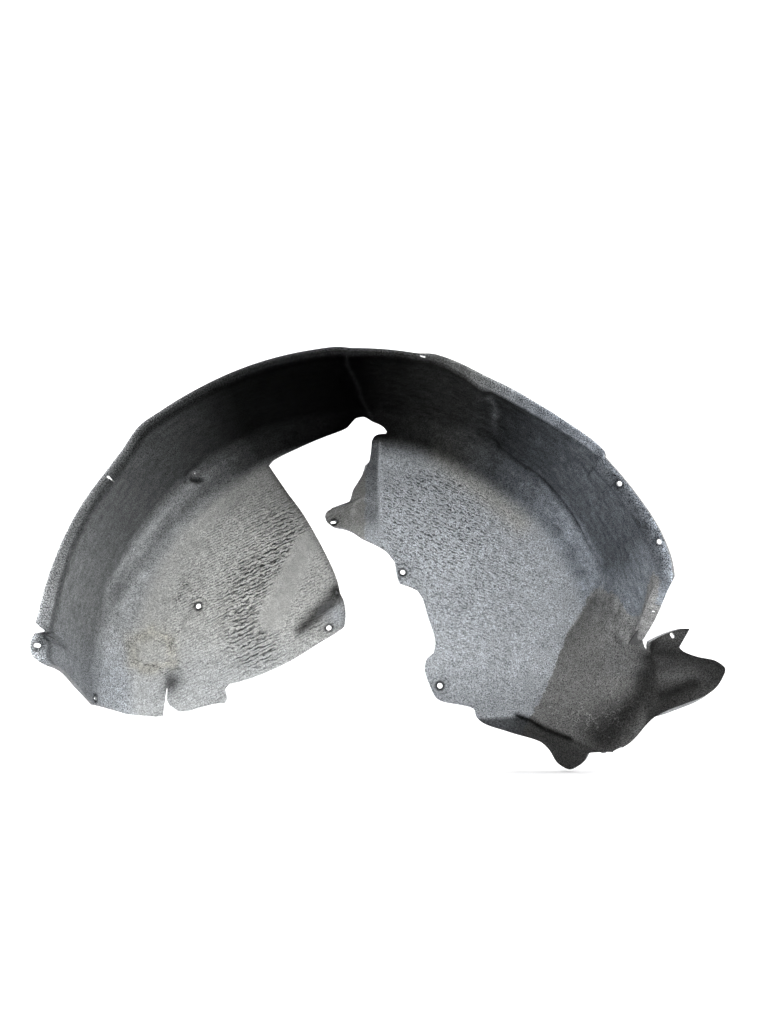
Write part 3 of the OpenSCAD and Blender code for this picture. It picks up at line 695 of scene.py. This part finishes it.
# Lines of X and Z that the paint follows
traces = {
    "gapEdge": [(-30, 46), (-28, 74), (-41, 114), (-53, 143), (-98, 223), (-152, 299)],
    "panelFoot": [(386, -30), (378, -60), (352, -88), (325, -112)],
    "lipFoldShade": [(222, -82), (240, -88), (258, -101), (286, -114)],
    "stripEdge": [(23, 340), (21, 278), (22, 245), (25, 222)],
    "stripLoop": [(-19, 226), (-17, 243), (-8, 250), (4, 248), (12, 240)],
    "valley": [(-40, 100), (-54, 83), (-69, 69), (-83, 53), (-95, 41)],
    "sallow": [(120, 318), (150, 290), (189, 258), (241, 209)],
    "dirtRing": [(-339, -9), (-345, 27), (-317, 39), (-286, 27), (-281, -9), (-312, -19), (-339, -9)],
    "pulled": [(-261, 119), (-271, 112), (-275, 98), (-281, 86)],
    "underPull": [(-258, 60), (-266, 50), (-276, 38), (-280, 28)],
    "stainTop": [[-352, 4], [-344, 29], [-319, 32], [-295, 20], [-278, 4], [-262, -14]],
    "stainFoot": [[-352, 4], [-345, -8], [-330, -6], [-306, -12], [-292, -22], [-262, -14]],
}


# Where each point of the mesh lies: places in mm, radius, sweep angle and the forms that it is on
def pointsOf(obj):
    co = np.zeros(len(obj.data.vertices) * 3)
    obj.data.vertices.foreach_get("co", co)
    p = co.reshape(-1, 3) / mm
    x, y, z = p.T
    r, s = np.hypot(x, z), sweepOf(x, z)
    return SimpleNamespace(
        p=p, x=x, y=y, z=z, r=r, s=s, left=x < 0, onWall=y > 200,
        fromRim=r - felt["rimRadius"] - along(rimLine, s, 2),
        onShoulder=ramp(-20, 6, r - 348) * (s < 185),
        onBand=ramp(350, 364, r) * (s < 176) * ramp(4, 8, y),
        onTail=np.maximum(ramp(372, 392, r) * ramp(178, 181, s), ramp(396, 399, r) * ramp(172, 174, s)))


def fromTrace(at, name):
    return chain(at.x, at.z, traces[name])[0]


# The walls' tone with painted shade: darker towards the top, where the band hangs over them, and along the
# strut gap's edge. The left wall is also darker towards the gap, and the right wall towards the bottom
def paintWalls(at):
    high = ramp(170, 300, at.z)
    gapEdgeShade = 0.4 * bump(fromTrace(at, "gapEdge"), 7) + 0.25 * spot(at.x, at.z, (-122, 255), 36)
    leftShade = mix(1, 0.42, ramp(150, 320, at.z)) * mix(1, 0.86, ramp(-160, -50, at.x)) * (1 - gapEdgeShade)
    rightShade = (mix(1, 0.8, high) * mix(1, 0.4, ramp(308, 342, at.r) * high)
                  * mix(0.68, 1, ramp(-75, 10, at.z)) * mix(0.9, 1, ramp(40, 150, at.z)))
    return np.where(at.left, paint["leftWall"] * leftShade, paint["rightWall"] * rightShade)


# The shoulder takes its tone from the band and the wall, each by its share, so the band's painted shade
# reaches onto the shoulder
def paintBand(at, wall):
    band, share = tableAt(paint["band"], at.s), tableAt(paint["bandInShoulder"], at.s)
    upper = band ** share * wall ** (1 - share)
    tone = mix(wall, mix(upper, band, 1 - ramp(180, 220, at.y)), at.onShoulder)
    onFlange = (1 - ramp(2, 14, at.y)) * ramp(330, 350, at.r) * (at.s < 178)
    return mix(tone, tableAt(paint["flange"], at.s), onFlange)


# Painted highlights and shade along the left shoulder's ribs
def paintRibLightAndShade(at, tone):
    stripesFrom = mix(172, 187, ramp(10, 26, at.s))
    zone = ramp(0, 16, at.y - stripesFrom) * (at.r > 310) * at.left
    zone = zone * ramp(6, 14, at.s) * (1 - ramp(44, 58, at.s))
    return tone * (1 + zone * sum(strength * bump(at.r - tableAt(line, at.s), half)
                                  for line, half, strength in ribLightAndShade))


# Painted shade under the flange, painted shade along the pocket's outline and a painted highlight on its
# ridge, a painted highlight along the folded line at the crown, and painted light that makes the flare pale
def paintBandForms(at, tone):
    underFlange = np.where(at.s < 104, 0.6 * bump(at.y - 9, 9), 0.35 * bump(at.y - 14, 12))
    tone = tone * (1 - at.onBand * underFlange)
    for line, half, strength in ((joggle, 4, -0.75), (pocketRidge, 5, 1.3)):
        d, way = chain(at.s * arcStep, at.y, [(a * arcStep, b) for a, b in line])
        tone = tone * (1 + strength * at.onBand * bump(d, half) * ramp(0, 0.1, way) * (1 - ramp(0.6, 1, way)))
    fromFold = (at.s - tableAt(paint["foldAt"], at.y)) * arcStep
    tone = tone + 0.006 * bump(fromFold - 2, 3) * at.onBand
    flareLight = bump(at.r - 384, 18) * ramp(158, 171, at.s) * (at.s < 178) * ramp(12, 30, at.y) * (at.r < 396)
    return mix(tone, paint["flareLight"], 0.8 * flareLight)


def paintTail(at, tone):
    tone = mix(tone, paint["tail"], at.onTail)
    for places, half, value, strength in tailMarks:
        tone = mix(tone, value, strength * bump(chain(at.x, at.z, places)[0], half) * at.onTail)
    tone = mix(tone, paint["tab"], at.onTail * ramp(11, 20, at.z) * ramp(395, 402, at.x))
    onShelf = ramp(176, 182, at.s) * ramp(340, 352, at.r) * (1 - at.onTail) * ~at.left
    return mix(tone, paint["shelf"], onShelf)


# The brown panel at the lower right, dirt with painted shade where it bends away: how far a point is past its
# border, and the panel's own tone
def paintPanel(at, tone):
    past = pastPanelBend(at.x, at.z) + 5 * bump(at.z - 25, 30)
    past = mix(past, -8, ramp(350, 384, at.r) * (1 - ramp(171, 179, at.s)))
    panel = mix(*paint["panel"], ramp(-110, -30, at.z)) + 0.04 * ramp(-10, 40, at.z)
    panel = mix(panel, tone, np.clip(at.onTail + ramp(338, 378, at.r) * (at.s < 182), 0, 1))
    d, way = chain(at.x, at.z, traces["panelFoot"])
    return past, mix(panel, paint["panelFoot"], bump(d, mix(13, 30, way)))


# Painted shade on the lip that turns under at the foot of the right wall, darker to the right, and a line of
# painted shade along its fold
def paintLip(at, tone):
    lip = ramp(-2, 4, tableAt(lipFold, at.x) - at.z) * ramp(130, 165, at.x)
    tone = mix(tone, mix(*paint["lip"], ramp(190, 250, at.x)), lip)
    return mix(tone, paint["lipFoldShade"], bump(fromTrace(at, "lipFoldShade"), 3.5))


# The strip beside the strut gap, painted darker as shade and more so towards the top, with painted highlights
# along its two creases
def paintStrip(at, tone):
    strip = (1 - ramp(18, 24, at.x)) * ramp(186, 222, at.z) * (at.x > -80) * at.onWall * (at.z < 335)
    tone = mix(tone, mix(*paint["strip"], ramp(235, 300, at.z)), strip)
    for name, half in (("stripEdge", 2.5), ("stripLoop", 3)):
        tone = tone + 0.13 * bump(fromTrace(at, name), half) * (at.y > 215)
    return tone


# Painted shade below the cup's rim and to its left, a painted highlight on its upper rim, and painted shade
# in the needle hole
def paintCup(at, tone):
    rel = at.p - np.array(cup["at"])
    d = np.linalg.norm(rel, axis=1)
    below, beside = rel @ np.array([0, 0.35, -0.94]), rel @ np.array([-0.8, -0.5, 0.3])
    shade = 0.85 * bump(d - 11, 3.2) * ramp(1, 8, below) + 0.45 * bump(d - 20, 3) * ramp(4, 13, beside)
    shine = 0.35 * bump(d - 8, 3) * ramp(-2, 6, -below)
    return tone * (1 - shade) * (1 + shine) * (1 - 0.85 * bump(d, 3.6))


# Painted shade round and in the clip holes, the finger hole and the holes at the rim, lobe, corner and tab,
# and a ring of painted shade just outside each seat's lip
def paintHoleShade(at, tone):
    for a, b in seats["places"] + [fingerHole]:
        d = np.hypot(at.x - a, at.z - b)
        tone = tone * (1 - (0.85 * (1 - ramp(6, 9, d)) + 0.3 * bump(d - 12.5, 1.6)) * at.onWall)
    for name in ("rimUpper", "rimLower", "rimFoot", "lobe", "corner", "tab"):
        d = np.linalg.norm(at.p - np.array(holes[name][0]), axis=1)
        tone = tone * (1 - 0.75 * (1 - ramp(5.5, 8.5, d)))
    return tone


# Painted shade in the lobe's recess, painted shadow at the curl beside the slit, and painted shade at the
# torn notch and in the valley below it
def paintShadedPlaces(at, tone):
    recess = bump(np.linalg.norm(at.p - np.array([-372, 2, 2]), axis=1), 12)
    tone = mix(tone, paint["recess"], 0.8 * recess)
    curl = spot(at.x, at.z, (-280, -36), 17, wide=0.9) * ramp(-296, -286, at.x)
    tone = mix(tone, paint["curl"], 0.85 * curl * at.onWall)
    tone = mix(tone, paint["notch"], spot(at.x, at.z, (-44, 101), 7.5) * at.onWall)
    d, way = chain(at.x, at.z, traces["valley"])
    return mix(tone, paint["valley"], 0.9 * bump(d, mix(13, 9, way)) * (at.x < -30) * at.onWall)


# The walls' fine texture lightens them, the smooth patch darkens them, and the rim's edge gets a painted
# highlight
def paintTextureAndRimHighlight(at, tone):
    tone = tone * (1 + (0.15 * rippleZone(at.x, at.z) + 0.12 * crepeZone(at.x, at.z)) * (at.y > 205))
    tone = tone * (1 - 0.13 * bump(chain(at.x, at.z, smoothPatch)[0], 17) * at.onWall)
    edge = ramp(-4.5, -1.5, at.fromRim) * (1 - ramp(6, 14, at.y)) * (at.s < 176)
    return tone + edge * (0.2 * (1 - ramp(38, 60, at.s)) + 0.05 + 0.12 * ramp(100, 115, at.s))


def coolShare(at):
    rightBand = 0.15 + 0.75 * ramp(108, 132, at.s)
    cool = np.where(at.left, ramp(-60, 40, -at.z) * 0.25 + 0.3 * at.onShoulder,
                    mix(0.55, rightBand, at.onShoulder))
    local = 0.5 * spot(at.x, at.z, (-38, 62), 22) - 0.4 * bump(fromTrace(at, "sallow"), 22)
    return cool + local * at.onWall


# Dirt and fine cracks round the old stain, the pulled corner, the valley and the left edge
def dirtAndMarks(at):
    ring = fromTrace(at, "dirtRing") + 9 * (cloud(at.x / 9, at.z / 9) - 0.5)
    dirt = (0.5 * bump(ring, 9) + 0.3 * spot(at.x, at.z, (-312, 12), 34)
            + 0.15 * bump(fromTrace(at, "sallow"), 14))
    marks = (0.9 * bump(ring, 8) + bump(fromTrace(at, "pulled"), 9) + bump(fromTrace(at, "underPull"), 6)
             + 0.7 * spot(at.x, at.z, (-306, 80), 9) + 0.5 * spot(at.x, at.z, (-230, -2), 28)
             + 0.5 * bump(fromTrace(at, "valley") + 2, 12))
    return dirt * at.onWall, np.clip(marks, 0, 1) * at.onWall * (at.x < -20)


# How far a point is inside the stain's border in mm, and outside where it is negative
def insideStain(at):
    inside = np.minimum(tableAt(traces["stainTop"], at.x) - at.z, at.z - tableAt(traces["stainFoot"], at.x))
    return np.where((at.x > -352) & (at.x < -262) & at.onWall, np.clip(inside, -12, 12), -12)


def speckleShare(at):
    smooth = bump(chain(at.x, at.z, smoothPatch)[0], 19)
    share = mix(np.where(at.left, 0.58 - 0.3 * smooth, 0.8), 0.85, ramp(335, 350, at.r))
    return mix(share, np.where(at.left, 2.0, 1.6), ramp(-16, -10, at.fromRim) * (at.y < 8))


def paintFelt(obj):
    at = pointsOf(obj)
    tone = paintBand(at, paintWalls(at))
    for step in (paintRibLightAndShade, paintBandForms, paintTail):
        tone = step(at, tone)
    past, panel = paintPanel(at, tone)
    for step in (paintLip, paintStrip, paintCup, paintHoleShade, paintShadedPlaces, paintTextureAndRimHighlight):
        tone = step(at, tone)
    dirt, marks = dirtAndMarks(at)
    scuffs = spot(at.x, at.z, (305, -80), 26, wide=1.5) + 0.8 * spot(at.x, at.z, (352, -42), 13, tall=1.4)
    streak = ramp(335, 352, at.r) * (at.s < 178) * np.where(at.left, 0.55, 0.9) * ramp(-12, 6, at.s)
    shares = {
        "tone": tone, "pastBend": past, "panelTone": paintLip(at, panel), "cool": coolShare(at),
        "dirt": dirt, "marks": marks, "stain": insideStain(at), "streak": streak,
        "scuffs": scuffs * (at.y > 140), "speckle": speckleShare(at),
        "wrinkle": wrinkleZone(at.x, at.z) * (at.y > 205), "ripple": rippleZone(at.x, at.z) * (at.y > 205),
        "crepe": crepeZone(at.x, at.z) * (at.y > 205),
    }
    for name, value in shares.items():
        a = obj.data.attributes.new(name, "FLOAT", "POINT")
        a.data.foreach_set("value", value.astype(np.float32))
    a = obj.data.attributes.new("bandPlace", "FLOAT_VECTOR", "POINT")
    bandPlace = np.stack([at.s * arcStep, at.y, 0 * at.s], 1) * mm
    a.data.foreach_set("vector", bandPlace.ravel().astype(np.float32))
    print("felt painted:", len(shares), "shares on", len(at.s), "points")


# The felt's texture: scale, detail and roughness of each cloudy noise, then heights in metres and tints
look = {
    "fibre": (1300, 3, 0.75), "clump": (620, 4, 0.8), "mottle": (85, 4, 0.65), "patch": (13, 4, 0.6),
    "crackle": (75, 3, 0.6), "stainWander": (110, 3, 0.65), "stainBreaks": (55, 2, 0.5),
    "blotch": (95, 5, 0.75), "scuff": (48, 3, 0.6), "smearSize": (0.03, 0.014, 1.0),
    "fibreHeight": 0.001, "clumpHeight": 0.0016, "crackleHeight": 0.0008, "roughness": 0.96,
    "warmTint": (0.985, 0.99, 0.96), "coolTint": (0.89, 0.975, 1.1), "panelTint": (1.0, 0.985, 0.95),
    "dirtTint": (0.95, 0.92, 0.8), "carSideTints": ((1.0, 0.99, 0.97), (0.95, 0.99, 1.04)),
}


# Short ways to make and join the nodes of a material
def nodeTools(tree):
    node, link = tree.nodes.new, tree.links.new
    where = node("ShaderNodeTexCoord").outputs["Object"]

    def setOrLink(value, socket):
        if isinstance(value, tuple):
            socket.default_value = (*value, 1)
        elif isinstance(value, (int, float)):
            socket.default_value = value
        else:
            link(value, socket)

    def noise(vector, scale, detail, rough):
        t = node("ShaderNodeTexNoise")
        t.inputs["Scale"].default_value = scale
        t.inputs["Detail"].default_value = detail
        t.inputs["Roughness"].default_value = rough
        link(vector, t.inputs["Vector"])
        return t

    def cloudy(name):
        return noise(where, *look[name]).outputs["Fac"]

    def zone(name, output="Fac"):
        t = node("ShaderNodeAttribute")
        t.attribute_name = name
        return t.outputs[output]

    def blend(fac, a, b, mode="MIX"):
        t = node("ShaderNodeMix")
        t.data_type, t.blend_type = "RGBA", mode
        setOrLink(fac, t.inputs["Factor"])
        setOrLink(a, t.inputs[6])
        setOrLink(b, t.inputs[7])
        return t.outputs[2]

    def sums(op):
        def work(a, b=0.0):
            t = node("ShaderNodeMath")
            t.operation = op
            setOrLink(a, t.inputs[0])
            setOrLink(b, t.inputs[1])
            return t.outputs[0]
        return work

    def spread(value, low, high, to0=0.0, to1=1.0):
        t = node("ShaderNodeMapRange")
        for socket, v in zip(("From Min", "From Max", "To Min", "To Max"), (low, high, to0, to1)):
            t.inputs[socket].default_value = v
        link(value, t.inputs["Value"])
        return t.outputs["Result"]

    def layAlong(vector, size, rise=0.0):
        t = node("ShaderNodeMapping")
        t.vector_type = "TEXTURE"
        t.inputs["Rotation"].default_value = (0, math.radians(-rise), 0)
        t.inputs["Scale"].default_value = size
        link(vector, t.inputs["Vector"])
        return t.outputs[0]

    return SimpleNamespace(
        node=node, link=link, where=where, noise=noise, cloudy=cloudy, zone=zone, blend=blend, spread=spread,
        layAlong=layAlong, times=sums("MULTIPLY"), plus=sums("ADD"), minus=sums("SUBTRACT"),
        size=sums("ABSOLUTE"))


# Short wavy grooves: a ripple that wanders and breaks off, for wrinkles, ripples and crepe
def grooves(t, kind):
    push = t.node("ShaderNodeVectorMath")
    push.operation = "MULTIPLY_ADD"
    t.link(t.noise(t.where, 40, 2.0, 0.5).outputs["Color"], push.inputs[0])
    push.inputs[1].default_value = (kind["sway"] * mm,) * 3
    t.link(t.where, push.inputs[2])
    lay = t.layAlong(push.outputs[0], (kind["length"] * mm, 0.1, kind["pitch"] * mm), kind["rise"])
    wave = t.node("ShaderNodeTexWave")
    wave.wave_type, wave.bands_direction, wave.wave_profile = "BANDS", "Z", "SIN"
    wave.inputs["Scale"].default_value = math.pi / 10
    wave.inputs["Distortion"].default_value = kind["wander"]
    wave.inputs["Detail"].default_value = 1.0
    wave.inputs["Detail Scale"].default_value = 2.6
    t.link(lay, wave.inputs["Vector"])
    broken = t.noise(lay, 0.8, 1.0, 0.5).outputs["Fac"]
    return t.times(t.spread(wave.outputs["Fac"], 0.45, 0.05), t.spread(broken, *kind["gaps"]))


# Lines where a noise passes its middle value, for cracks and scuffs
def middleLines(t, name):
    return t.size(t.minus(t.cloudy(name), 0.5))


# The stain's thin outline, which wanders and breaks off
def stainLine(t):
    wander = t.times(t.minus(t.cloudy("stainWander"), 0.5), 26)
    line = t.spread(t.size(t.plus(t.zone("stain"), wander)), 1.5, 0.4)
    return t.times(line, t.spread(t.cloudy("stainBreaks"), 0.42, 0.52))


# Smears that run along the band and the shoulder
def smears(t):
    lay = t.layAlong(t.zone("bandPlace", "Vector"), look["smearSize"])
    smear = t.times(t.noise(lay, 1.0, 2.5, 0.65).outputs["Fac"], 0.45)
    return t.times(t.spread(t.plus(smear, t.times(t.cloudy("blotch"), 0.55)), 0.38, 0.62, -0.4, 0.4),
                   t.zone("streak"))


# Grooves, cracks and the stain's outline: how dark they make the wheel side, the grooves by painted shade,
# and how deep they lie
def darkLines(t):
    dark, deep = 0.0, 0.0
    for kind, name in ((wrinkles, "wrinkle"), (ripples, "ripple"), (crepe, "crepe")):
        groove = t.times(grooves(t, kind), t.zone(name))
        dark = t.plus(dark, t.times(groove, kind["dark"]))
        deep = t.plus(deep, t.times(groove, kind["depth"] * mm))
    cracks = t.times(t.spread(middleLines(t, "crackle"), 0.026, 0.006), t.zone("marks"))
    dark = t.plus(dark, t.plus(t.times(cracks, 0.6), t.times(stainLine(t), 0.55)))
    return dark, t.plus(deep, t.times(cracks, look["crackleHeight"]))


# The painted tone with its scuffs, and the tint, both changing at the brown panel's border
def toneAndTint(t, mottle):
    inPanel = t.spread(t.plus(t.zone("pastBend"), t.spread(mottle, 0.3, 0.7, -3.0, 3.0)), -1.5, 1.5)
    scuffs = t.times(t.spread(middleLines(t, "scuff"), 0.016, 0.0, 0.0, 0.2), t.zone("scuffs"))
    tone = t.plus(t.times(t.zone("tone"), t.minus(1.0, inPanel)), t.times(t.zone("panelTone"), inPanel))
    tint = t.blend(t.zone("cool"), look["warmTint"], look["coolTint"])
    tint = t.blend(t.times(inPanel, 0.8), tint, look["panelTint"])
    return t.plus(tone, scuffs), t.blend(t.zone("dirt"), tint, look["dirtTint"])


def dressFelt(mat, side):
    mat.use_nodes = True
    mat.node_tree.nodes.clear()
    t = nodeTools(mat.node_tree)
    fibre, clump, mottle, patch = (t.cloudy(name) for name in ("fibre", "clump", "mottle", "patch"))
    speck = t.spread(t.plus(t.times(fibre, 0.4), t.times(clump, 0.6)), 0.42, 0.58, -1.0, 1.0)
    speckShare = t.times(t.zone("speckle"), side["grain"]) if side["painted"] else side["grain"]
    clouding = t.times(t.spread(mottle, 0.3, 0.7, 0.88, 1.12), t.spread(patch, 0.3, 0.7, 0.92, 1.08))
    amount = t.times(t.plus(1.0, t.times(speck, speckShare)), clouding)
    height = t.plus(t.times(fibre, look["fibreHeight"]), t.times(clump, look["clumpHeight"]))
    if side["painted"]:
        dark, deep = darkLines(t)
        tone, tint = toneAndTint(t, mottle)
        amount = t.times(t.times(amount, t.plus(1.0, smears(t))), t.spread(dark, 0.0, 0.9, 1.0, 0.1))
        height = t.minus(height, deep)
    else:
        tone, tint = side["tone"], t.blend(patch, *look["carSideTints"])
    shade = t.node("ShaderNodeBsdfPrincipled")
    shade.inputs["Roughness"].default_value = look["roughness"]
    shade.inputs["Specular IOR Level"].default_value = 0.0
    t.link(t.blend(1.0, tint, t.times(amount, tone), "MULTIPLY"), shade.inputs["Base Color"])
    pile = t.node("ShaderNodeBump")
    pile.inputs["Strength"].default_value = side["relief"]
    pile.inputs["Distance"].default_value = 1.0
    t.link(height, pile.inputs["Height"])
    t.link(pile.outputs["Normal"], shade.inputs["Normal"])
    out = t.node("ShaderNodeOutputMaterial")
    t.link(shade.outputs[0], out.inputs["Surface"])
    print("felt dressed:", mat.name, len(mat.node_tree.nodes), "nodes")


paintFelt(liner)
for mat in liner.data.materials:
    dressFelt(mat, sides[mat.name])
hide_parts("arch_liner")
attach(liner, "root")
print("liner ready")

# Camera, floor and lights
view = {"place": (0.0092, -0.8908, -0.1159), "pitch": 17.05, "turn": -0.913, "lens": 26.47}
stageSet = {"floor": -0.157, "middle": -2.0, "radius": 5.0, "curve": 1.5, "height": 6.0,
            "turns": 96, "steps": 24, "colour": (0.9, 0.9, 0.9), "roughness": 0.9}
sky = {"colour": (0.9, 0.93, 1.0), "strength": 0.09}

# Soft round panels: name, place, what they point at, width and power
lamps = [
    ("skyPanel", (0.5, -1.2, 2.6), (0.0, 0.15, 0.0), 2.0, 93),
    ("frontPanel", (0.3, -2.6, 0.9), (0.0, 0.2, 0.1), 2.2, 10.4),
    ("backLampLeft", (-2.4, 0.2, 3.2), (-1.6, 3.4, 2.4), 2.4, 126),
    ("backLampRight", (2.4, 0.2, 3.2), (1.6, 3.4, 2.4), 2.4, 126),
]


def placeCamera():
    data = bpy.data.cameras.new("camera")
    data.sensor_fit, data.sensor_height, data.lens = "VERTICAL", 36, view["lens"]
    data.clip_start = 0.01
    cam = bpy.data.objects.new("camera", data)
    cam.location = view["place"]
    cam.rotation_euler = (math.radians(90 + view["pitch"]), 0, math.radians(view["turn"]))
    scene.collection.objects.link(cam)
    scene.camera = cam


# The floor turns up into a plain pale wall all round
def buildStage():
    r, c, low, n = (stageSet[name] for name in ("radius", "curve", "floor", "turns"))
    profile = [(r - c + c * math.sin(a), low + c - c * math.cos(a))
               for a in np.linspace(0, math.pi / 2, stageSet["steps"] + 1)]
    profile.append((r, low + stageSet["height"]))
    turns = [2 * math.pi * k / n for k in range(n)]
    verts = [(a * math.sin(t), stageSet["middle"] + a * math.cos(t), z) for a, z in profile for t in turns]
    faces = [list(range(n))[::-1]]
    for i in range(0, n * (len(profile) - 1), n):
        faces += [[i + k, i + (k + 1) % n, i + n + (k + 1) % n, i + n + k] for k in range(n)]
    m = bpy.data.meshes.new("floor")
    m.from_pydata(verts, [], faces)
    m.shade_smooth()
    floor = bpy.data.objects.new("floor", m)
    scene.collection.objects.link(floor)
    mat = bpy.data.materials.new("palePaper")
    mat.use_nodes = True
    shade = mat.node_tree.nodes["Principled BSDF"]
    shade.inputs["Base Color"].default_value = (*stageSet["colour"], 1)
    shade.inputs["Roughness"].default_value = stageSet["roughness"]
    m.materials.append(mat)


def hangLamps():
    for name, place, target, width, power in lamps:
        lamp = bpy.data.lights.new(name, "AREA")
        lamp.shape, lamp.size, lamp.energy = "DISK", width, power
        obj = bpy.data.objects.new(name, lamp)
        obj.location = place
        obj.rotation_euler = (Vector(target) - Vector(place)).to_track_quat("-Z", "Y").to_euler()
        scene.collection.objects.link(obj)
    world = bpy.data.worlds.new("studio")
    world.use_nodes = True
    light = world.node_tree.nodes["Background"]
    light.inputs[0].default_value = (*sky["colour"], 1)
    light.inputs[1].default_value = sky["strength"]
    scene.world = world


placeCamera()
buildStage()
hangLamps()
print("stage ready")
